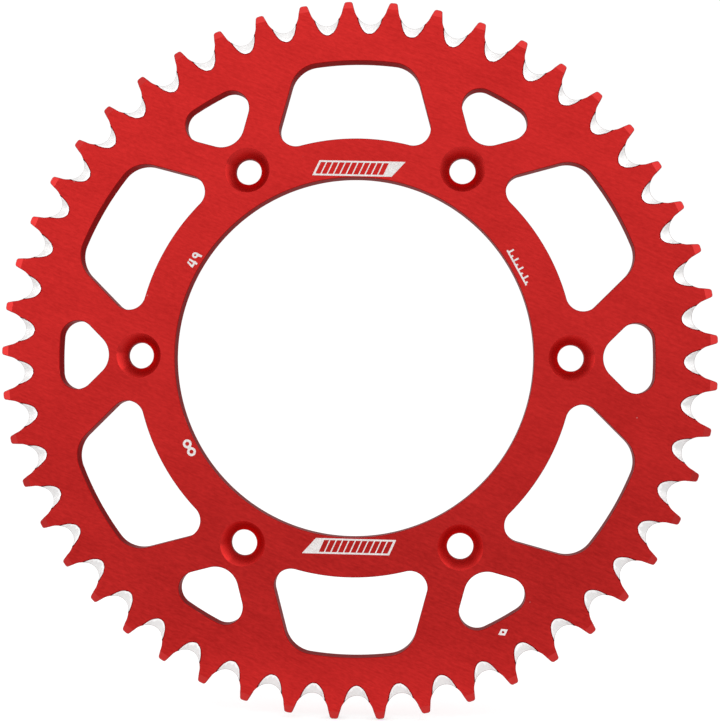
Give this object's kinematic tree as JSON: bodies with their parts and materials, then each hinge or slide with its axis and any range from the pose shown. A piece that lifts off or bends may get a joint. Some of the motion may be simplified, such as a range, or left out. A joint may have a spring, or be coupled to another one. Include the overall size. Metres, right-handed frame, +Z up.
{
  "type": "rear chain sprocket",
  "caption": "Flat one-piece aluminium rear sprocket for a motorcycle chain drive, with a large hub bore, countersunk bolt holes, lightening windows and a mud groove at each tooth root.",
  "frame": {"origin": "on the wheel axis, halfway through the plate's thickness", "axes": "+Y along the wheel axis from the outer, countersunk face to the hub face; +Z up; a bolt hole lies on +X"},
  "size_m": [0.2535, 0.006, 0.2536],
  "materials": {
    "red_anodised_aluminium": "satin brushed, red anodised, with bare machined mud grooves",
    "etched_mark": "matt laser-etched bare metal"
  },
  "bodies": {
    "root": {"sprocket_plate": "red_anodised_aluminium", "badge_top": "etched_mark", "badge_bottom": "etched_mark", "tooth_count_digit_4": "etched_mark", "tooth_count_digit_9": "etched_mark", "chain_link_mark": "etched_mark", "tick_scale_mark": "etched_mark", "lot_mark": "etched_mark"}
  },
  "joints": []
}
